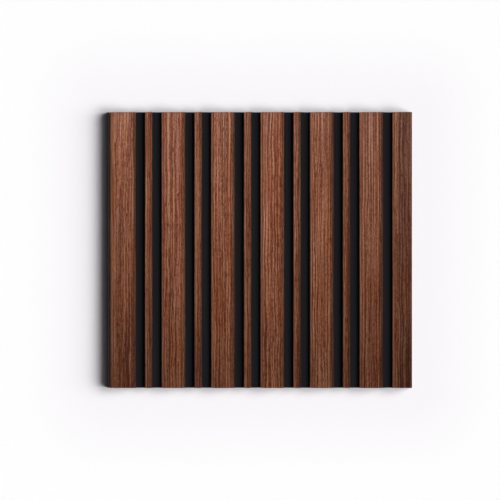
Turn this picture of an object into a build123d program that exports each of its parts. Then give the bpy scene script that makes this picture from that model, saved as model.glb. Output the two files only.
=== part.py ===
from build123d import *
from dataclasses import dataclass
import os

# Slatted wall panel: one extruded length of black foamed polystyrene, with wood-look film on its slats.
# It lies on its back: X runs across the slats, Y along them, and Z out of the visible face.
# The origin is the middle of the back. All sizes are in millimetres.

# Length along the slats
panel_length = 276.0

# Layout across the panel, from its left edge: the flat tops of the slats, without their eased edges
left_margin = 3.0
first_flat = 17.6
wide_flat = 16.0
narrow_flat = 1.5
edge_flat = 15.6
groove_width = 9.0
narrow_slat_count = 5

# Heights
base_thickness = 4.5
slat_height = 7.5

# Eased edges of the slats: how far each reaches out and down, and how much it swells from its chord
ease_run = 4.0
ease_drop = 3.75
ease_swell = 0.32
narrow_ease_run = 3.0
narrow_ease_drop = 2.8
narrow_ease_swell = 0.24

# Radius where a slat's side meets the floor of a groove
root_radius = 0.8

# Decor film: its thickness, and how far above the groove floor its lower edges end
film_thickness = 0.3
film_edge_height = 1.8

# Shallow channels along the back that hold the glue, one behind each slat that is wider than they are
glue_channel_width = 7.0
glue_channel_depth = 0.9

panel_thickness = base_thickness + slat_height
film_edge_level = base_thickness + film_edge_height


@dataclass
class Ease:
    """The eased edge of a slat."""

    run: float
    drop: float
    swell: float


@dataclass
class Slat:
    """One slat: the name of its film, where it starts, its flat top and its eased edges."""

    film_name: str
    left: float
    flat: float
    ease: Ease

    @property
    def left_crown(self):
        """Where the flat top starts."""
        return self.left + self.ease.run

    @property
    def right_crown(self):
        """Where the flat top ends."""
        return self.left_crown + self.flat

    @property
    def right(self):
        """Where the slat ends."""
        return self.right_crown + self.ease.run


broad_ease = Ease(ease_run, ease_drop, ease_swell)
slim_ease = Ease(narrow_ease_run, narrow_ease_drop, narrow_ease_swell)


def lay_out_slats():
    """Walks across the panel, slat by slat. The last one runs on past the cut at the panel's right edge."""
    slats = [Slat("first_slat_film", left_margin, first_flat, broad_ease)]
    for number in range(1, narrow_slat_count + 1):
        start = slats[-1].right + groove_width
        slats.append(Slat(f"narrow_slat_film_{number}", start, narrow_flat, slim_ease))
        start = slats[-1].right + groove_width
        slats.append(Slat(f"wide_slat_film_{number + 1}", start, wide_flat, broad_ease))
    start = slats[-1].right + groove_width
    slats.append(Slat("edge_slat_film", start, edge_flat + ease_run, broad_ease))
    return slats


panel_slats = lay_out_slats()
panel_width = panel_slats[-1].left_crown + edge_flat


def rectangle(left, bottom, right, top):
    """A rectangle of the section between two corners."""
    return Pos((left + right) / 2, (bottom + top) / 2) * Rectangle(right - left, top - bottom)


def slat_outline(slat):
    """The outside of a slat with its film, from the back of the panel up to its flat top."""
    shoulder_level = panel_thickness - slat.ease.drop
    left_foot = (slat.left, 0)
    left_shoulder = (slat.left, shoulder_level)
    left_crown = (slat.left_crown, panel_thickness)
    right_crown = (slat.right_crown, panel_thickness)
    right_shoulder = (slat.right, shoulder_level)
    right_foot = (slat.right, 0)
    outline = Curve() + [
        Line(left_foot, left_shoulder),
        SagittaArc(left_shoulder, left_crown, slat.ease.swell),
        Line(left_crown, right_crown),
        SagittaArc(right_crown, right_shoulder, slat.ease.swell),
        Line(right_shoulder, right_foot),
        Line(right_foot, left_foot),
    ]
    return make_face(outline)


def slat_core(slat):
    """The polystyrene inside a slat's film: its outline, set in by the film's thickness."""
    return offset(slat_outline(slat), amount=-film_thickness, kind=Kind.INTERSECTION)


def film_section(slat):
    """The film on a slat: what the core leaves of the outline, above the film's edges, inside the panel."""
    reach = rectangle(0, film_edge_level, panel_width, panel_thickness)
    return (slat_outline(slat) - slat_core(slat)) & reach


def glue_channel(slat):
    """The shallow round channel in the back, behind the middle of a slat's flat top as the panel keeps it."""
    middle = (slat.left_crown + min(slat.right_crown, panel_width)) / 2
    left_lip = (middle - glue_channel_width / 2, 0)
    right_lip = (middle + glue_channel_width / 2, 0)
    outline = Curve() + [
        SagittaArc(left_lip, right_lip, glue_channel_depth),
        Line(right_lip, left_lip),
    ]
    return make_face(outline)


def is_groove_root(corner):
    """Whether a corner of the section is one where a slat's side meets the floor of a groove."""
    at_floor = abs(corner.Y - base_thickness) < film_thickness / 10
    return at_floor and 0 < corner.X < panel_width


def body_section():
    """The section of the extruded body: base, slat cores, rounded groove roots and glue channels."""
    base = rectangle(0, 0, panel_width, base_thickness)
    inside_panel = rectangle(0, 0, panel_width, panel_thickness)
    section = (base + [slat_core(slat) for slat in panel_slats]) & inside_panel
    section = fillet(section.vertices().filter_by(is_groove_root), root_radius)
    return section - [glue_channel(slat) for slat in panel_slats if slat.flat > glue_channel_width]


def run_along(section):
    """Carries a section along the slats, centred on the origin."""
    upright = Plane.XZ * Pos(-panel_width / 2, 0) * section
    return extrude(upright, amount=panel_length / 2, both=True)


def write(shape, name):
    """Writes one piece under its own name."""
    shape.label = name
    export_step(shape, f"parts/{name}.step")


os.makedirs("parts", exist_ok=True)
write(run_along(body_section()), "panel_body")
for panel_slat in panel_slats:
    write(run_along(film_section(panel_slat)), panel_slat.film_name)
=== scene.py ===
"""Dresses the slatted wall panel: embossed walnut film on its slats, black foamed polystyrene behind them.

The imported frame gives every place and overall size. Each film is a profile carried along its slat, with the
grain pressed into it, and its print follows that relief. All lengths are in metres.
"""

import logging
import math
from dataclasses import dataclass
from enum import Enum
from typing import ClassVar

import bpy
import numpy as np
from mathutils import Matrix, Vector


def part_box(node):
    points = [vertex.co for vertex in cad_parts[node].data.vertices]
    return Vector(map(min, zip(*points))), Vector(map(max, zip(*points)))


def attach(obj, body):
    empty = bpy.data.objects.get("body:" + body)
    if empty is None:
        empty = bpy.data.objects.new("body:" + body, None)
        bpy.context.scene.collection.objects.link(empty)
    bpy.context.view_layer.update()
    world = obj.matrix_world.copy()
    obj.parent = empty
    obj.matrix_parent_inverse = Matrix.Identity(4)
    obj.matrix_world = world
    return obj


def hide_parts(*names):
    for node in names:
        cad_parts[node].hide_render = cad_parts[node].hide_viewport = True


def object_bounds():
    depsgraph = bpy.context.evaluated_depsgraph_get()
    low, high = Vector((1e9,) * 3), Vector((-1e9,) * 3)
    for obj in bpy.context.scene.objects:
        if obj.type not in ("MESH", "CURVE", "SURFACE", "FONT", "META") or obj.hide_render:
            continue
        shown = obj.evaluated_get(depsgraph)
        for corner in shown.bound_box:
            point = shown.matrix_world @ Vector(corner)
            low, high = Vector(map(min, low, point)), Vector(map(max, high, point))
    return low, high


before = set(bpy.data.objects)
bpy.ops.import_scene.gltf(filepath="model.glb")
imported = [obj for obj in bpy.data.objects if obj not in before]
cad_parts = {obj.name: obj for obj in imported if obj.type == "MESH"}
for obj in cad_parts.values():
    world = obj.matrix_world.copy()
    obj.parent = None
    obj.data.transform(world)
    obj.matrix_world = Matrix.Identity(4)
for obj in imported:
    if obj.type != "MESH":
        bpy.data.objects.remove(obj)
cad_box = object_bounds()

Triple = tuple[float, float, float]
Quad = tuple[float, float, float, float]

LOG = logging.getLogger("slatted_panel")
RIDES_ON = "root"
BODY_NODE = "panel_body"
MILLIMETRE = 0.001
ORIGIN = (0.0, 0.0, 0.0)
STRAIGHT_UP = (0.0, 0.0, 1.0)
WHITE = (1.0, 1.0, 1.0, 1.0)

# Span of a sun that stands for the whole sky
SKY_SPAN = math.radians(150.0)

# Middle of the values that noise takes
NOISE_MIDDLE = 0.5

# Names of the films' own attributes, which the film's material reads
PLACE_ATTRIBUTE = "film_place"
PORE_ATTRIBUTE = "pore"
# The tone holds the slat's tone together with painted light and shade on its eased edges and walls
TONE_ATTRIBUTE = "tone"
# The bend attribute says how much painted sheen each point of a film takes
PAINTED_SHEEN_ATTRIBUTE = "bend"

# Sockets of a Mix node that blends colours, by number, because their names repeat
MIX_FACTOR = 0
MIX_FIRST = 6
MIX_SECOND = 7
MIX_RESULT = 2


class Wire:
    """A node's output. Maths on it adds Math nodes."""

    def __init__(self, graph: "Graph", socket: bpy.types.NodeSocket | None) -> None:
        """Keeps the graph and the output, which is None behind a node that ends the tree."""
        self.graph = graph
        self.socket = socket

    def _math(self, operation: str, first: "Wire | float", second: "Wire | float") -> "Wire":
        """Adds a Math node on two values."""
        return self.graph.node("ShaderNodeMath", {"operation": operation}, {0: first, 1: second})

    def __add__(self, other: "Wire | float") -> "Wire":
        """Sum of this value and another."""
        return self._math("ADD", self, other)

    def __radd__(self, other: float) -> "Wire":
        """Sum of a number and this value."""
        return self._math("ADD", other, self)

    def __sub__(self, other: "Wire | float") -> "Wire":
        """This value less another."""
        return self._math("SUBTRACT", self, other)

    def __rsub__(self, other: float) -> "Wire":
        """A number less this value."""
        return self._math("SUBTRACT", other, self)

    def __mul__(self, other: "Wire | float") -> "Wire":
        """Product of this value and another."""
        return self._math("MULTIPLY", self, other)

    def __rmul__(self, other: float) -> "Wire":
        """Product of a number and this value."""
        return self._math("MULTIPLY", other, self)

    def __abs__(self) -> "Wire":
        """This value without its sign."""
        return self._math("ABSOLUTE", self, 0.0)

    def sine(self) -> "Wire":
        """Sine of this value, in radians."""
        return self._math("SINE", self, 0.0)

    def at_least(self, least: float) -> "Wire":
        """This value, raised to the least where it is below it."""
        return self._math("MAXIMUM", self, least)

    def at_most(self, most: float) -> "Wire":
        """This value, lowered to the most where it is above it."""
        return self._math("MINIMUM", self, most)


class Graph:
    """The node tree of a material or a world, built up from nothing."""

    def __init__(self, tree: bpy.types.NodeTree) -> None:
        """Takes a tree and empties it."""
        self.tree = tree
        self.tree.nodes.clear()

    def node(
        self,
        kind: str,
        settings: dict[str, object] | None = None,
        sockets: dict[str | int, object] | None = None,
        output: str | int = 0,
    ) -> Wire:
        """Adds a node.

        Args:
            kind: Blender's type of the node.
            settings: the node's own settings, set first; stops are a ramp's places and colours.
            sockets: a value or a wire for each input that is named or numbered.
            output: name or number of the output to go on from.

        Returns:
            The wire from that output.
        """
        node = self.tree.nodes.new(kind)
        for name, setting in (settings or {}).items():
            if name == "stops":
                self._set_stops(node.color_ramp, setting)
            else:
                setattr(node, name, setting)
        for key, value in (sockets or {}).items():
            if isinstance(value, Wire):
                self.tree.links.new(value.socket, node.inputs[key])
            else:
                node.inputs[key].default_value = value
        return Wire(self, node.outputs[output] if node.outputs else None)

    @staticmethod
    def _set_stops(ramp: bpy.types.ColorRamp, stops: tuple[tuple[float, Triple], ...]) -> None:
        """Gives a ramp its stops, in order of place.

        Args:
            ramp: a new ramp, which has two stops.
            stops: place from 0 to 1 and linear colour of each stop.
        """
        while len(ramp.elements) < len(stops):
            ramp.elements.new(1.0)
        for element, (place, colour) in zip(ramp.elements, stops):
            element.position = place
            element.color = (*colour, 1.0)

    def mix(
        self, factor: Wire | float, first: Wire | Quad, second: Wire | Quad, blend: str = "MIX"
    ) -> Wire:
        """Blends two colours.

        Args:
            factor: share of the second colour.
            first: the colour at 0.
            second: the colour at 1.
            blend: Blender's name of the blend.

        Returns:
            The blended colour.
        """
        sockets = {MIX_FACTOR: factor, MIX_FIRST: first, MIX_SECOND: second}
        return self.node("ShaderNodeMix", {"data_type": "RGBA", "blend_type": blend}, sockets, MIX_RESULT)

    def step(self, value: Wire, start: float, end: float) -> Wire:
        """Smooth step from 0 where the value is at start to 1 where it is at end."""
        sockets = {"Value": value, "From Min": start, "From Max": end}
        return self.node("ShaderNodeMapRange", {"interpolation_type": "SMOOTHSTEP"}, sockets)

    def stretched(self, place: Wire, cell: Triple, shift: float, detail: float) -> Wire:
        """Noise about 0, stretched over a box.

        Args:
            place: the coordinates it varies over.
            cell: size of one swell of the noise along each coordinate.
            shift: how far the third coordinate is moved, so that no two patterns agree.
            detail: how many finer octaves are added.

        Returns:
            Noise from about -0.5 to 0.5.
        """
        per_cell = tuple(1.0 / size for size in cell)
        scaled = self.node(
            "ShaderNodeVectorMath",
            {"operation": "MULTIPLY_ADD"},
            {0: place, 1: per_cell, 2: (0.0, 0.0, shift)},
        )
        noise = self.node("ShaderNodeTexNoise", {}, {"Vector": scaled, "Scale": 1.0, "Detail": detail})
        return noise - NOISE_MIDDLE

    def attribute(self, name: str, output: str = "Fac") -> Wire:
        """What the mesh stores under a name for each of its points."""
        return self.node("ShaderNodeAttribute", {"attribute_name": name}, output=output)

    def axis(self, vector: Wire, axis: str) -> Wire:
        """One coordinate of a vector, by its capital letter."""
        return self.node("ShaderNodeSeparateXYZ", {}, {"Vector": vector}, axis)

    def bump(self, strength: float, depth: float, height: Wire) -> Wire:
        """Normals that follow a fine relief."""
        sockets = {"Strength": strength, "Distance": depth, "Height": height}
        return self.node("ShaderNodeBump", {}, sockets)

    def surface(self, inputs: dict[str | int, object]) -> None:
        """Ends a material's tree in a Principled shader with these inputs."""
        shader = self.node("ShaderNodeBsdfPrincipled", {}, inputs)
        self.node("ShaderNodeOutputMaterial", {}, {"Surface": shader})


def new_material(name: str) -> tuple[bpy.types.Material, Graph]:
    """Makes an empty material.

    Args:
        name: name of the material.

    Returns:
        The material, and the graph to fill.
    """
    material = bpy.data.materials.new(name)
    material.use_nodes = True
    return material, Graph(material.node_tree)


@dataclass(frozen=True)
class GrainLayer:
    """One layer of the printed grain.

    It has the size of its marks, how strongly they shade, its place in the noise and its finer octaves.
    """

    width: float
    length: float
    shade: float
    shift: float
    detail: float = 1.0

    def over(self, graph: Graph, place: Wire) -> Wire:
        """The layer's shading over the film, about 0."""
        return graph.stretched(place, (self.width, self.length, 1.0), self.shift, self.detail) * self.shade


@dataclass(frozen=True)
class WalnutFilm:
    """Satin decor film, printed and embossed as walnut."""

    name: str = "walnut_film"
    figure: GrainLayer = GrainLayer(width=0.0075, length=0.3, shade=0.36, shift=3.1)
    lines: GrainLayer = GrainLayer(width=0.0006, length=0.4, shade=3.1, shift=63.9)
    streaks: GrainLayer = GrainLayer(width=0.0007, length=0.07, shade=2.45, shift=17.4)
    fibres: GrainLayer = GrainLayer(width=0.00045, length=0.0026, shade=1.7, shift=41.7)
    rings: GrainLayer = GrainLayer(width=0.016, length=0.2, shade=9.0, shift=150.3)
    ring_pitch: float = 0.003
    ring_shade: float = 0.24
    skew: float = 0.45
    sway: GrainLayer = GrainLayer(width=0.012, length=0.03, shade=0.0024, shift=88.2, detail=0.0)
    pore_shade: float = 0.62
    darkest: float = 0.3
    lightest: float = 1.9
    palette: tuple[tuple[float, Triple], ...] = (
        (0.0, (0.05, 0.0075, 0.001)),
        (0.22, (0.119, 0.0275, 0.0085)),
        (0.44, (0.195, 0.059, 0.0255)),
        (0.69, (0.275, 0.1025, 0.052)),
        (1.0, (0.371, 0.163, 0.096)),
    )
    grey_cast: Quad = (1.0, 1.085, 1.15, 1.0)
    red_cast: Quad = (1.01, 0.9, 0.71, 1.0)
    cast: GrainLayer = GrainLayer(width=0.0021, length=0.052, shade=2.9, shift=120.5)
    cast_reach: float = 0.5
    satin: float = 0.44
    satin_spread: float = 0.25
    pore_dullness: float = 0.22
    specular: float = 0.035
    # Pale grey mixed in down the eased edges: a painted sheen, not a colour of the film
    painted_sheen: Quad = (0.17, 0.15, 0.145, 1.0)
    painted_sheen_share: float = 0.25
    bump_depth: float = 0.00004
    bump_strength: float = 0.5

    def material(self) -> bpy.types.Material:
        """Builds the material.

        The film's own coordinates sway a little across the slat. Four layers of stretched noise, and the
        sine of the place across, counted in ring pitches and shifted by more noise, add up to the grain g,
        less the pores. The lightness is 1 + g + skew * g * g, so that light marks stand out more than dark
        ones. A ramp of walnut browns turns it into a colour, with patches of a grey and of a red cast. A
        pale grey is mixed in down the eased edges as a painted sheen, and the slat's tone, which holds
        painted light and shade, scales the colour.

        Returns:
            The material, for every film.
        """
        material, graph = new_material(self.name)
        printed = graph.attribute(PLACE_ATTRIBUTE, "Vector")
        pore = graph.attribute(PORE_ATTRIBUTE)
        tone = graph.attribute(TONE_ATTRIBUTE)
        bend = graph.attribute(PAINTED_SHEEN_ATTRIBUTE)
        drift = graph.node("ShaderNodeCombineXYZ", {}, {"X": self.sway.over(graph, printed)})
        place = graph.node("ShaderNodeVectorMath", {"operation": "ADD"}, {0: printed, 1: drift})
        fibres = self.fibres.over(graph, place)
        long_grain = self.figure.over(graph, place) + self.lines.over(graph, place)
        turn = 2.0 * math.pi / self.ring_pitch
        turns = graph.axis(place, "X") * turn + self.rings.over(graph, place)
        short_grain = self.streaks.over(graph, place) + fibres - pore * self.pore_shade
        grain = long_grain + turns.sine() * self.ring_shade + short_grain
        lightness = 1.0 + grain * (1.0 + grain * self.skew)
        along_ramp = (lightness - self.darkest) * (1.0 / (self.lightest - self.darkest))
        brown = graph.node("ShaderNodeValToRGB", {"stops": self.palette}, {"Fac": along_ramp})
        cast_share = graph.step(self.cast.over(graph, place), -self.cast_reach, self.cast_reach)
        cast = graph.mix(cast_share, self.grey_cast, self.red_cast)
        walnut = graph.mix(1.0, brown, cast, "MULTIPLY")
        # Painted sheen: pale grey mixed in down the eased edges
        with_painted_sheen = graph.mix(bend * self.painted_sheen_share, walnut, self.painted_sheen)
        inputs = {
            "Base Color": graph.mix(1.0, with_painted_sheen, tone, "MULTIPLY"),
            "Roughness": self.satin - fibres * self.satin_spread + pore * self.pore_dullness,
            "Specular IOR Level": self.specular,
            "Normal": graph.bump(self.bump_strength, self.bump_depth, fibres),
        }
        graph.surface(inputs)
        return material


@dataclass(frozen=True)
class BlackPolystyrene:
    """Matte black foamed polystyrene, drawn out along the slats, with cells where it is cut."""

    name: str = "black_polystyrene"
    black: Quad = (0.0115, 0.0108, 0.0124, 1.0)
    bloom: Quad = (0.0195, 0.0184, 0.021, 1.0)
    lip_brown: Quad = (0.41, 0.225, 0.215, 1.0)
    lip_start: float = 0.4 * MILLIMETRE
    lip_full: float = 1.4 * MILLIMETRE
    lip_blend: float = 0.2 * MILLIMETRE
    draw_lines: Triple = (0.0007, 0.12, 0.0007)
    draw_detail: float = 2.0
    cell_size: float = 0.0006
    bloom_start: float = -0.3
    bloom_full: float = 0.4
    facing_start: float = 0.7
    facing_full: float = 0.9
    matte: float = 0.62
    matte_spread: float = 0.3
    specular: float = 0.02
    bump_depth: float = 0.00012
    bump_strength: float = 0.55

    def material(self, lip: tuple[float, float]) -> bpy.types.Material:
        """Builds the material.

        Noise stretched along Y makes the fine lines that the die draws. On the sawn ends, where the normal
        is along Y, the walls of Voronoi cells take their place, as foam shows them. The top of the lip
        browns towards the first slat.

        Args:
            lip: where the lip starts and ends across the panel.

        Returns:
            The material of the extruded body.
        """
        material, graph = new_material(self.name)
        place = graph.node("ShaderNodeTexCoord", output="Object")
        normal = graph.node("ShaderNodeTexCoord", output="Normal")
        across = graph.axis(place, "X")
        sawn = graph.step(abs(graph.axis(normal, "Y")), self.facing_start, self.facing_full)
        lines = graph.stretched(place, self.draw_lines, 0.0, self.draw_detail)
        cells = graph.node(
            "ShaderNodeTexVoronoi",
            {"feature": "DISTANCE_TO_EDGE"},
            {"Vector": place, "Scale": 1.0 / self.cell_size},
            "Distance",
        )
        relief = lines + sawn * (cells - lines)
        black = graph.mix(graph.step(relief, self.bloom_start, self.bloom_full), self.black, self.bloom)
        inward = graph.step(across, lip[0] + self.lip_start, lip[0] + self.lip_full)
        on_lip = inward * graph.step(across, lip[1] + self.lip_blend, lip[1])
        lip_top = on_lip * graph.step(graph.axis(normal, "Z"), self.facing_start, self.facing_full)
        inputs = {
            "Base Color": graph.mix(lip_top, black, self.lip_brown),
            "Roughness": self.matte + relief * self.matte_spread,
            "Specular IOR Level": self.specular,
            "Normal": graph.bump(self.bump_strength, self.bump_depth, relief),
        }
        graph.surface(inputs)
        return material


@dataclass(frozen=True)
class WhiteGround:
    """Matte white ground, greyed close round the panel by painted shade."""

    name: str = "white_ground"
    # The near grey is painted shade round the panel; it fades into the far white over the given distances
    near: Quad = (0.866, 0.843, 0.866, 1.0)
    far: Quad = (0.908, 0.903, 0.908, 1.0)
    painted_shade_reach: float = 0.01
    painted_shade_end: float = 0.095
    matte: float = 0.9
    specular: float = 0.0

    def material(self) -> bpy.types.Material:
        """Builds the material of the ground.

        The distance from the panel is the length of a vector: |x| less half the panel's width and |y| less
        half its length, with neither below 0. The colour goes over by it from the near grey, a painted shade
        round the panel, to the far white.

        Returns:
            The material of the ground.
        """
        material, graph = new_material(self.name)
        place = graph.node("ShaderNodeTexCoord", output="Object")
        _, high = cad_box
        past_side = (abs(graph.axis(place, "X")) - high.x).at_least(0.0)
        past_end = (abs(graph.axis(place, "Y")) - high.y).at_least(0.0)
        away = graph.node("ShaderNodeCombineXYZ", {}, {"X": past_side, "Y": past_end})
        distance = graph.node("ShaderNodeVectorMath", {"operation": "LENGTH"}, {0: away}, "Value")
        # Share of the far white, where the painted shade round the panel has faded out
        share_clear_of_painted_shade = graph.step(distance, self.painted_shade_reach, self.painted_shade_end)
        inputs = {
            "Base Color": graph.mix(share_clear_of_painted_shade, self.near, self.far),
            "Roughness": self.matte,
            "Specular IOR Level": self.specular,
        }
        graph.surface(inputs)
        return material


# Odd multipliers and shifts that scatter the lattice's whole numbers over 32 bits
HASH_ACROSS = np.uint32(374761393)
HASH_ALONG = np.uint32(668265263)
HASH_SEED = 974634777
HASH_STIR = np.uint32(1274126177)
HASH_FIRST_SHIFT = np.uint32(13)
HASH_LAST_SHIFT = np.uint32(16)
HASH_SPAN = 2**32


def smooth_share(share: np.ndarray) -> np.ndarray:
    """Eases a share t of the way from 0 to 1 in and out, as t * t * (3 - 2 * t)."""
    return share * share * (3.0 - 2.0 * share)


def smooth_step(values: np.ndarray, start: float, end: float) -> np.ndarray:
    """Goes smoothly from 0 at start to 1 at end, and keeps those values outside."""
    return smooth_share(np.clip((values - start) / (end - start), 0.0, 1.0))


def lattice_noise(across: np.ndarray, along: np.ndarray, seed: int) -> np.ndarray:
    """Smooth noise over a lattice of whole numbers.

    Each corner of the lattice has a hashed value. A point blends the values at the four corners round it,
    each way by the smooth share of how far it lies into its cell.

    Args:
        across: first coordinate, counted in cells.
        along: second coordinate, counted in cells, which broadcasts with the first.
        seed: which noise it is.

    Returns:
        Values from 0 to 1 over both coordinates.
    """
    cell_across = np.floor(across)
    cell_along = np.floor(along)
    blend_across = smooth_share(across - cell_across)
    blend_along = smooth_share(along - cell_along)
    seed_key = np.uint32(seed * HASH_SEED % HASH_SPAN)

    def corner(step_across: int, step_along: int) -> np.ndarray:
        """Hashes one corner of each cell.

        Args:
            step_across: 0 for the cell's near side, 1 for its far side.
            step_along: the same the other way.

        Returns:
            Values from 0 to 1.
        """
        key_across = (cell_across + step_across).astype(np.int64).astype(np.uint32) * HASH_ACROSS
        key_along = (cell_along + step_along).astype(np.int64).astype(np.uint32) * HASH_ALONG
        key = key_across + key_along + seed_key
        key = (key ^ (key >> HASH_FIRST_SHIFT)) * HASH_STIR
        return (key ^ (key >> HASH_LAST_SHIFT)) / float(HASH_SPAN - 1)

    near = corner(0, 0) * (1.0 - blend_across) + corner(1, 0) * blend_across
    far = corner(0, 1) * (1.0 - blend_across) + corner(1, 1) * blend_across
    return near * (1.0 - blend_along) + far * blend_along


@dataclass(frozen=True)
class Ease:
    """Eased edge of a slat: how far it reaches out and down, and how much it swells from its chord."""

    run: float
    drop: float
    swell: float

    def arc(self, step: float) -> np.ndarray:
        """Points along the left eased edge, with the crown at the origin.

        The chord goes from the shoulder at (-run, -drop) to the crown. The radius is half the sum of the
        swell and the squared half chord over the swell, and the centre lies on the chord's normal, so
        that each point is centre + radius * (cos, sin) of an angle between those of the two ends.

        Args:
            step: spacing of the points.

        Returns:
            Points from the shoulder to the crown, both of them included.
        """
        shoulder = np.array([-self.run, -self.drop])
        chord = math.hypot(self.run, self.drop)
        outward = np.array([-self.drop, self.run]) / chord
        radius = (self.swell + (chord / 2.0) ** 2 / self.swell) / 2.0
        centre = shoulder / 2.0 + outward * (self.swell - radius)
        angles = [math.atan2(z - centre[1], x - centre[0]) for x, z in (shoulder, (0.0, 0.0))]
        turn = np.linspace(angles[0], angles[1], max(2, round(chord / step) + 1))
        return centre + radius * np.column_stack((np.cos(turn), np.sin(turn)))


class SlatKind(Enum):
    """The kinds of slat, by the words that their nodes' names start with."""

    FIRST = "first_slat"
    WIDE = "wide_slat"
    NARROW = "narrow_slat"
    EDGE = "edge_slat"


BROAD_EASE = Ease(4.0 * MILLIMETRE, 3.75 * MILLIMETRE, 0.32 * MILLIMETRE)
SLIM_EASE = Ease(3.0 * MILLIMETRE, 2.8 * MILLIMETRE, 0.24 * MILLIMETRE)


@dataclass(frozen=True)
class SlatToneAndShade:
    """How light a slat's film is, with painted light and shade.

    It has a tone for its flat top, and a factor for each eased edge beside the flat, which paints light or
    shade on it. The walls under the eased edges are darkened by painted shade.
    """

    flat: float
    left: float
    right: float
    # Painted shade on the walls under the eased edges, as a share taken off their tone
    left_wall_painted_shade: float = 0.85
    right_wall_painted_shade: float = 0.5


# Per kind: the flat's tone, the eased edges' factors of painted light or shade, and the walls' painted shade
KIND_TONE_AND_SHADE = {
    SlatKind.FIRST: SlatToneAndShade(0.91, 0.93, 1.24, left_wall_painted_shade=0.4),
    SlatKind.WIDE: SlatToneAndShade(1.0, 0.93, 1.24),
    SlatKind.NARROW: SlatToneAndShade(0.78, 1.4, 1.55),
    SlatKind.EDGE: SlatToneAndShade(0.98, 0.89, 1.0),
}

# Films whose print came out a little lighter or darker than the others
PRINT_DRIFT = {"wide_slat_film_2": 1.02, "wide_slat_film_4": 1.08, "wide_slat_film_6": 0.93}


class EmbossNoise(Enum):
    """What the noises of the relief are for."""

    DASHES = 0
    BANDS = 1
    FIBRES = 2
    SWAY = 3

    def seed(self, slat: int) -> int:
        """A seed of its own for each use on each slat."""
        return slat * len(EmbossNoise) + self.value


@dataclass(frozen=True)
class Emboss:
    """Relief of the film: pores and fibres pressed in by a roller."""

    pore_width: float = 0.5 * MILLIMETRE
    pore_length: float = 5.0 * MILLIMETRE
    sway_width: float = 12.0 * MILLIMETRE
    sway_length: float = 26.0 * MILLIMETRE
    sway: float = 2.4 * MILLIMETRE
    band_width: float = 3.2 * MILLIMETRE
    band_length: float = 130.0 * MILLIMETRE
    band_pull: float = 0.3
    pore_start: float = 0.66
    pore_full: float = 0.86
    pore_depth: float = 0.075 * MILLIMETRE
    fibre_width: float = 0.5 * MILLIMETRE
    fibre_length: float = 24.0 * MILLIMETRE
    fibre_depth: float = 0.022 * MILLIMETRE

    def pores(self, across: np.ndarray, along: np.ndarray, slat: int) -> np.ndarray:
        """How much of a pore there is at each point.

        Broad noise sways the film's coordinates across the slat. Short noise then gives the dashes and long
        noise the bands they crowd in. A pore opens where their weighted sum passes a threshold.

        Args:
            across: distance across the flattened film, down the first axis.
            along: distance along the slat, down the second axis.
            slat: number of the slat.

        Returns:
            Values from 0, on smooth film, to 1, on the bottom of a pore.
        """
        sway_seed = EmbossNoise.SWAY.seed(slat)
        drift = lattice_noise(across / self.sway_width, along / self.sway_length, sway_seed) - NOISE_MIDDLE
        swayed = across + self.sway * drift
        dash_seed = EmbossNoise.DASHES.seed(slat)
        dash = lattice_noise(swayed / self.pore_width, along / self.pore_length, dash_seed)
        band_seed = EmbossNoise.BANDS.seed(slat)
        band = lattice_noise(swayed / self.band_width, along / self.band_length, band_seed) - NOISE_MIDDLE
        return smooth_step(dash + self.band_pull * band, self.pore_start, self.pore_full)

    def depth(self, pores: np.ndarray, across: np.ndarray, along: np.ndarray, slat: int) -> np.ndarray:
        """How deep the film is pressed in: pores times their depth, plus long fibre noise times its depth.

        Args:
            pores: the pores at each point.
            across: distance across the flattened film, down the first axis.
            along: distance along the slat, down the second axis.
            slat: number of the slat.

        Returns:
            Depths, none below 0.
        """
        fibre_seed = EmbossNoise.FIBRES.seed(slat)
        fibres = lattice_noise(across / self.fibre_width, along / self.fibre_length, fibre_seed)
        return pores * self.pore_depth + fibres * self.fibre_depth


def distance_along(points: np.ndarray) -> np.ndarray:
    """How far each point of a line lies from its first point, measured along the line."""
    return np.concatenate(([0.0], np.cumsum(np.hypot(*np.diff(points, axis=0).T))))


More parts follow.
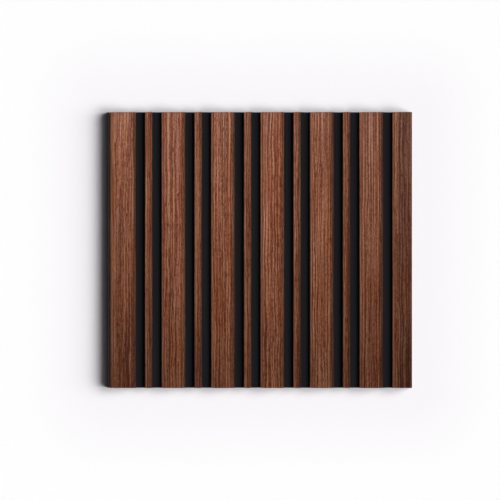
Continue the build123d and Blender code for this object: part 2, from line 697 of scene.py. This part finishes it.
@dataclass(frozen=True)
class SlatFilm:
    """The embossed film on one slat, in the place of its plain node."""

    node: str
    kind: SlatKind
    seed: int
    thickness: float = 0.3 * MILLIMETRE
    step: float = 0.25 * MILLIMETRE
    station: float = 1.15 * MILLIMETRE
    inner_step: float = 2.5 * MILLIMETRE
    rounding: int = 2
    hem_fade: float = 0.5 * MILLIMETRE
    sharp_angle: float = math.radians(40.0)
    # Shares of the drop over which the eased edges' painted light or shade comes in
    ease_start: float = 0.0
    ease_full: float = 0.16
    # Shares of the drop over which the painted sheen comes in down the eased edges
    painted_sheen_start: float = 0.0
    painted_sheen_full: float = 0.9
    # Shares of the drop over which the walls' painted shade comes in
    wall_start: float = 0.75
    wall_full: float = 0.95
    # Painted shade over the edge slat's right part, from a line near its left crown to the panel's edge
    edge_shade_start: float = 4.7 * MILLIMETRE
    edge_shade_end: float = 5.9 * MILLIMETRE
    edge_shade: float = 0.415
    emboss: Emboss = Emboss()

    @property
    def ease(self) -> Ease:
        """Eased edges of this kind of slat."""
        return SLIM_EASE if self.kind is SlatKind.NARROW else BROAD_EASE

    def corners(self) -> np.ndarray:
        """The points that the film's outside is drawn through.

        A straight wall rises from the hem to the shoulder, an arc goes on to the crown, the flat top
        follows, and the right side mirrors the left. The edge slat's flat ends at the panel's edge
        instead.

        Returns:
            Points across (x) and up (z), from the left hem to the right one.
        """
        low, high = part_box(self.node)
        left_arc = self.ease.arc(self.step) + (low.x + self.ease.run, high.z)
        left_side = np.vstack(((low.x, low.z), left_arc))
        if self.kind is SlatKind.EDGE:
            return np.vstack((left_side, (high.x, high.z)))
        right_side = (low.x + high.x, 0.0) + left_side[::-1] * (-1.0, 1.0)
        return np.vstack((left_side, right_side))

    def section(self) -> np.ndarray:
        """The film's outside as evenly spaced points.

        The corners are resampled by distance, and each point but the two hems is then averaged with its
        neighbours as (before + 2 * point + after) / 4, a few times, which rounds the shoulders and crowns.

        Returns:
            Points across and up, from the left hem to the right one.
        """
        corners = self.corners()
        run = distance_along(corners)
        even = np.linspace(0.0, run[-1], round(run[-1] / self.step) + 1)
        points = np.column_stack([np.interp(even, run, corners[:, axis]) for axis in (0, 1)])
        for _ in range(self.rounding):
            points[1:-1] = (points[:-2] + 2.0 * points[1:-1] + points[2:]) / 4.0
        return points

    @staticmethod
    def outward(points: np.ndarray) -> np.ndarray:
        """Unit normals of a line that goes over the slat: its heading, turned a quarter to the left.

        Args:
            points: points across and up, from left to right.

        Returns:
            One normal for each point.
        """
        heading = np.gradient(points, axis=0)
        normals = np.column_stack((-heading[:, 1], heading[:, 0]))
        return normals / np.linalg.norm(normals, axis=1, keepdims=True)

    def tones(self, points: np.ndarray) -> np.ndarray:
        """How light the film is across the slat, with its painted light and shade.

        The flat has the tone of the slat's kind, and the two eased edges are painted lighter or darker by
        the kind's factors, all times the film's own drift. The walls under the shoulders have painted
        shade, and the edge slat has painted shade from a line near its left crown.

        Args:
            points: points across and up.

        Returns:
            One factor for each point.
        """
        low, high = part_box(self.node)
        tones = KIND_TONE_AND_SHADE[self.kind]
        on_left = points[:, 0] < (low.x + high.x) / 2.0
        side = np.where(on_left, tones.left, tones.right)
        # Painted shade on the walls under the shoulders
        wall_painted_shade = np.where(on_left, tones.left_wall_painted_shade, tones.right_wall_painted_shade)
        walls = wall_painted_shade * self.way_down(points, self.wall_start, self.wall_full)
        eased = self.way_down(points, self.ease_start, self.ease_full)
        flat = tones.flat * PRINT_DRIFT.get(self.node, 1.0)
        # Painted light or shade on the eased edges and painted shade on the walls, times the flat's tone
        tone = flat * (1.0 + (side - 1.0) * eased) * (1.0 - walls)
        if self.kind is SlatKind.EDGE:
            # Painted shade over the edge slat's right part
            from_left = points[:, 0] - low.x
            shaded = smooth_step(from_left, self.edge_shade_start, self.edge_shade_end)
            tone = tone * (1.0 - self.edge_shade * shaded)
        return tone

    def way_down(self, points: np.ndarray, start: float, full: float) -> np.ndarray:
        """How far each point is down an eased edge: a smooth step over its depth as a share of the drop.

        Args:
            points: points across and up.
            start: share of the drop at which the step starts.
            full: share of the drop at which it is over.

        Returns:
            A value from 0 to 1 for each point.
        """
        _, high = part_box(self.node)
        below_top = (high.z - points[:, 1]) / self.ease.drop
        return smooth_step(below_top, start, full)

    def build(self) -> bpy.types.Object:
        """Builds the film as one closed shell.

        The outside is the section at stations along the slat, moved inwards by the relief, which fades out
        at the hems. The inside is every few points of the section, set in by the thickness, in reverse
        order. Both make one ring of points for each station, which quads join to the next, and a face
        closes each end.

        Returns:
            The new object, at the origin.
        """
        low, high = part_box(self.node)
        section = self.section()
        normals = self.outward(section)
        run = distance_along(section)
        stations = np.linspace(low.y, high.y, round((high.y - low.y) / self.station) + 1)
        across = run[:, None] - run[-1] / 2.0
        along = stations[None, :]
        pores = self.emboss.pores(across, along, self.seed)
        hem_distance = np.minimum(run, run[-1] - run)[:, None]
        relief = self.emboss.depth(pores, across, along, self.seed)
        relief = relief * smooth_step(hem_distance, 0.0, self.hem_fade)

        spread = np.linspace(0, len(section) - 1, round(run[-1] / self.inner_step) + 1)
        picks = np.unique(spread.round()).astype(int)[::-1]
        inside = section[picks] - normals[picks] * self.thickness
        inside[[0, -1], 1] = low.z
        ring = len(section) + len(picks)
        count = len(stations)

        points = np.empty((ring, count, 3))
        points[: len(section), :, 0] = section[:, None, 0] - normals[:, None, 0] * relief
        points[: len(section), :, 2] = section[:, None, 1] - normals[:, None, 1] * relief
        points[len(section):, :, 0] = inside[:, None, 0]
        points[len(section):, :, 2] = inside[:, None, 1]
        points[:, :, 1] = along

        place = np.empty((ring, count, 3))
        place[:, :, 0] = np.concatenate((across[:, 0], across[picks, 0]))[:, None]
        place[:, :, 1] = along
        place[:, :, 2] = float(self.seed)
        tone = np.concatenate((self.tones(section), np.ones(len(picks))))
        # How much painted sheen each point takes, by how far down the eased edge it lies
        bends = self.way_down(section, self.painted_sheen_start, self.painted_sheen_full)
        bend = np.concatenate((bends, np.zeros(len(picks))))
        pore = np.vstack((pores, np.zeros((len(picks), count))))

        mesh = ring_mesh(self.piece_name, points, self.sharp_angle)
        write_attribute(mesh, PLACE_ATTRIBUTE, "FLOAT_VECTOR", place)
        write_attribute(mesh, PORE_ATTRIBUTE, "FLOAT", pore)
        write_attribute(mesh, TONE_ATTRIBUTE, "FLOAT", np.broadcast_to(tone[:, None], (ring, count)))
        write_attribute(mesh, PAINTED_SHEEN_ATTRIBUTE, "FLOAT", np.broadcast_to(bend[:, None], (ring, count)))
        piece = bpy.data.objects.new(self.piece_name, mesh)
        bpy.context.scene.collection.objects.link(piece)
        return piece

    @property
    def piece_name(self) -> str:
        """Name of the embossed piece."""
        return f"embossed_{self.node}"

    def dress(self, piece: bpy.types.Object, material: bpy.types.Material) -> None:
        """Gives the piece its finish and puts it in the place of its plain node.

        Args:
            piece: the built film.
            material: the finish of all the films.
        """
        piece.data.materials.append(material)
        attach(piece, RIDES_ON)
        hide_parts(self.node)


def ring_mesh(name: str, points: np.ndarray, sharp_angle: float) -> bpy.types.Mesh:
    """Joins closed rings of points into a shell with an end face at each side.

    The point i of station j is number i * stations + j. Quads take i, i + 1 and j, j + 1, with i counted
    round the ring. The end faces take a whole ring, reversed at the first station so that it faces
    outwards.

    Args:
        name: name of the mesh.
        points: positions, by place in the ring and by station.
        sharp_angle: edges that bend by more than this are shaded sharp.

    Returns:
        The mesh.
    """
    ring, count, _ = points.shape
    number = np.arange(ring * count).reshape(ring, count)
    following = np.roll(number, -1, axis=0)
    corners = (number[:, :-1], following[:, :-1], following[:, 1:], number[:, 1:])
    quads = np.stack(corners, axis=-1).reshape(-1, len(corners))
    loops = np.concatenate((quads.ravel(), number[::-1, 0], number[:, -1]))
    starts = np.concatenate((np.arange(len(quads)) * len(corners), quads.size + np.array((0, ring))))
    mesh = bpy.data.meshes.new(name)
    mesh.vertices.add(ring * count)
    mesh.vertices.foreach_set("co", points.astype(np.float32).ravel())
    mesh.loops.add(len(loops))
    mesh.loops.foreach_set("vertex_index", loops.astype(np.int32))
    mesh.polygons.add(len(starts))
    mesh.polygons.foreach_set("loop_start", starts.astype(np.int32))
    mesh.update(calc_edges=True)
    mesh.shade_smooth()
    mesh.set_sharp_from_angle(angle=sharp_angle)
    return mesh


def write_attribute(mesh: bpy.types.Mesh, name: str, kind: str, values: np.ndarray) -> None:
    """Stores one value or vector for each point of a mesh.

    Args:
        mesh: the mesh.
        name: the attribute's name.
        kind: FLOAT or FLOAT_VECTOR.
        values: the values, in the order of the points.
    """
    attribute = mesh.attributes.new(name, kind, "POINT")
    field = "vector" if kind == "FLOAT_VECTOR" else "value"
    attribute.data.foreach_set(field, np.ascontiguousarray(values, dtype=np.float32).ravel())


def lay_out_films() -> list[SlatFilm]:
    """Lists the films from left to right, by their nodes in the frame.

    Returns:
        One film for each slat, numbered in order.
    """
    nodes = [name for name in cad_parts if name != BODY_NODE]
    nodes.sort(key=lambda name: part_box(name)[0].x)
    kinds = [next(kind for kind in SlatKind if name.startswith(kind.value)) for name in nodes]
    return [SlatFilm(name, kind, seed) for seed, (name, kind) in enumerate(zip(nodes, kinds), start=1)]


@dataclass(frozen=True)
class ExtrudedBody:
    """The black extruded body, which keeps its own solid."""

    first_film: str
    finish: BlackPolystyrene = BlackPolystyrene()

    def dress(self) -> bpy.types.Object:
        """Gives the body its finish.

        Returns:
            The body's object.
        """
        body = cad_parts[BODY_NODE]
        lip_start, _ = cad_box
        lip_end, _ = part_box(self.first_film)
        material = self.finish.material((lip_start.x, lip_end.x))
        for slot in body.material_slots:
            slot.material = material
        return body


@dataclass(frozen=True)
class Ground:
    """The white ground that the panel lies on."""

    half_width: float = 6.0
    level: float = -0.1 * MILLIMETRE
    finish: WhiteGround = WhiteGround()

    def build(self) -> bpy.types.Object:
        """Lays the ground as one level square.

        Returns:
            The ground's object.
        """
        signs = np.array(((-1.0, -1.0), (1.0, -1.0), (1.0, 1.0), (-1.0, 1.0)))
        points = np.column_stack((signs * self.half_width, np.full(len(signs), self.level)))
        mesh = bpy.data.meshes.new("ground")
        mesh.from_pydata(points, [], [(0, 1, 2, 3)])
        mesh.materials.append(self.finish.material())
        ground = bpy.data.objects.new("ground", mesh)
        bpy.context.scene.collection.objects.link(ground)
        return ground


@dataclass(frozen=True)
class Lamp:
    """A studio lamp: where it stands, what it aims at and how strong it is."""

    lights_diffuse: ClassVar[bool] = True
    name: str
    place: Triple
    aim: Triple
    power: float

    def make(self) -> bpy.types.Light:
        """Makes the lamp's own data, which each kind of lamp does in its own way."""
        raise NotImplementedError

    def light(self, receivers: list[bpy.types.Object]) -> None:
        """Sets up the lamp.

        Args:
            receivers: the objects that it lights. The others still cast their shadows in its light.
        """
        data = self.make()
        data.energy = self.power
        lamp = bpy.data.objects.new(self.name, data)
        lamp.location = self.place
        heading = Vector(self.aim) - Vector(self.place)
        lamp.rotation_euler = heading.to_track_quat("-Z", "Y").to_euler()
        lamp.visible_diffuse = self.lights_diffuse
        bpy.context.scene.collection.objects.link(lamp)
        lit = bpy.data.collections.new(f"{self.name}_receivers")
        for receiver in receivers:
            lit.objects.link(receiver)
        lamp.light_linking.receiver_collection = lit


@dataclass(frozen=True)
class Sun(Lamp):
    """A lamp so far off that its light is even, spread over an angle of the sky."""

    span: float

    def make(self) -> bpy.types.Light:
        """Makes a sun of that span.

        Returns:
            The lamp's data.
        """
        data = bpy.data.lights.new(self.name, "SUN")
        data.angle = self.span
        return data


@dataclass(frozen=True)
class Spot(Lamp):
    """A soft spotlight that fades from the middle of its cone to the rim."""

    cone: float
    radius: float

    def make(self) -> bpy.types.Light:
        """Makes a spotlight of that cone and radius, faded all the way.

        Returns:
            The lamp's data.
        """
        data = bpy.data.lights.new(self.name, "SPOT")
        data.spot_size = self.cone
        data.spot_blend = 1.0
        data.shadow_soft_size = self.radius
        return data


@dataclass(frozen=True)
class GlossStrip(Lamp):
    """A long panel lamp that shows only as gloss."""

    lights_diffuse: ClassVar[bool] = False
    length: float
    breadth: float

    def make(self) -> bpy.types.Light:
        """Makes a rectangular lamp, with its length across the panel.

        Returns:
            The lamp's data.
        """
        data = bpy.data.lights.new(self.name, "AREA")
        data.shape = "RECTANGLE"
        data.size = self.length
        data.size_y = self.breadth
        return data


@dataclass(frozen=True)
class GroundSun:
    """One of the suns that stand round +X and light the ground.

    Its turn, height and span are angles in degrees, and it has a share of the light.
    """

    name: str
    turn: float
    height: float
    span: float
    share: float

    def sun(self, glow: float) -> Sun:
        """Works out the sun.

        A level ground takes the sine of a sun's height from its power, so the power is divided by it.

        Args:
            glow: the light of all these suns together on the ground.

        Returns:
            The sun.
        """
        azimuth = math.radians(self.turn)
        level = math.cos(math.radians(self.height))
        up = math.sin(math.radians(self.height))
        place = (level * math.cos(azimuth), level * math.sin(azimuth), up)
        return Sun(self.name, place, ORIGIN, glow * self.share / up, math.radians(self.span))


@dataclass(frozen=True)
class Studio:
    """Plain soft light.

    The ground has low suns and a sky, the grooves have a sun, and the films have a spotlight, a strip that
    shows as gloss and a sky.
    """

    ground_suns: tuple[GroundSun, ...] = (
        GroundSun("ground_sun_front", turn=-21.2, height=32.7, span=25.3, share=0.314),
        GroundSun("ground_sun_low", turn=0.0, height=23.4, span=28.2, share=0.34),
        GroundSun("ground_sun_rear", turn=21.2, height=32.7, span=25.3, share=0.314),
        GroundSun("ground_sun_high_front", turn=-43.3, height=50.2, span=26.4, share=0.015),
        GroundSun("ground_sun_high_rear", turn=43.3, height=50.2, span=26.4, share=0.015),
    )
    ground_sky: Sun = Sun("ground_sky", STRAIGHT_UP, ORIGIN, power=0.044, span=SKY_SPAN)
    ground_glow: float = 3.35
    groove_sun: Sun = Sun(
        "groove_sun",
        place=(0.77, 0.0, 0.64),
        aim=ORIGIN,
        power=4.8,
        span=math.radians(66.0),
    )
    film_spot: Spot = Spot(
        "film_spot",
        place=(-0.57, 0.53, 1.2),
        aim=(-0.02, 0.3, 0.0),
        power=96.0,
        cone=math.radians(48.0),
        radius=0.12,
    )
    gloss_strip: GlossStrip = GlossStrip(
        "gloss_strip",
        place=(-0.05, 0.33, 0.6),
        aim=(-0.05, 0.1, 0.0),
        power=23.0,
        length=0.5,
        breadth=0.05,
    )
    film_sky: Sun = Sun("film_sky", STRAIGHT_UP, ORIGIN, power=0.4, span=SKY_SPAN)
    world_glow: float = 0.02

    def light(
        self, films: list[bpy.types.Object], body: bpy.types.Object, ground: bpy.types.Object
    ) -> None:
        """Sets up the lamps and the world.

        Args:
            films: the embossed films.
            body: the extruded body.
            ground: the ground.
        """
        for ground_sun in self.ground_suns:
            ground_sun.sun(self.ground_glow).light([ground])
        self.ground_sky.light([ground])
        self.groove_sun.light([body])
        self.film_spot.light(films)
        self.gloss_strip.light(films)
        self.film_sky.light(films)
        self.surround()

    def surround(self) -> None:
        """Makes the world white to the camera and in reflections, with only a faint glow as light."""
        world = bpy.data.worlds.new("surround")
        world.use_nodes = True
        graph = Graph(world.node_tree)
        camera_ray = graph.node("ShaderNodeLightPath", output="Is Camera Ray")
        glossy_ray = graph.node("ShaderNodeLightPath", output="Is Glossy Ray")
        clear_ray = graph.node("ShaderNodeLightPath", output="Is Transmission Ray")
        shown = (camera_ray + glossy_ray + clear_ray).at_most(1.0)
        strength = self.world_glow + shown * (1.0 - self.world_glow)
        white = graph.node("ShaderNodeBackground", {}, {"Color": WHITE, "Strength": strength})
        graph.node("ShaderNodeOutputWorld", {}, {"Surface": white})
        bpy.context.scene.world = world


@dataclass(frozen=True)
class PhotoCamera:
    """Camera straight above the panel, whose frame is half a metre wide at the panel's face."""

    frame_width: float = 0.5
    frame_pixels: float = 500.0
    right_edge_pixel: float = 412.0
    lens: float = 300.0
    sensor: float = 36.0

    def set_up(self) -> None:
        """Places the camera.

        It stands where the frame's width at the panel's face fills the sensor, moved across so that the
        panel's right edge falls on its pixel.
        """
        _, high = cad_box
        from_middle = self.right_edge_pixel - self.frame_pixels / 2.0
        data = bpy.data.cameras.new("photo_camera")
        data.lens = self.lens
        data.sensor_width = self.sensor
        camera = bpy.data.objects.new("photo_camera", data)
        camera.location = (
            high.x - from_middle * self.frame_width / self.frame_pixels,
            0.0,
            high.z + self.frame_width * self.lens / self.sensor,
        )
        bpy.context.scene.collection.objects.link(camera)
        bpy.context.scene.camera = camera


def main() -> None:
    """Builds and dresses the panel piece by piece, then lights it and places the camera."""
    logging.basicConfig(level=logging.INFO, format="%(name)s: %(message)s")
    bpy.context.scene.view_settings.view_transform = "Standard"
    walnut = WalnutFilm().material()
    films = []
    slat_films = lay_out_films()
    for film in slat_films:
        piece = film.build()
        film.dress(piece, walnut)
        films.append(piece)
        LOG.info("%s: %d faces for %s", piece.name, len(piece.data.polygons), film.node)
    body = ExtrudedBody(slat_films[0].node).dress()
    LOG.info("%s: finished in black", body.name)
    ground = Ground().build()
    LOG.info("%s: laid under the panel", ground.name)
    Studio().light(films, body, ground)
    PhotoCamera().set_up()


if __name__ == "__main__":
    main()
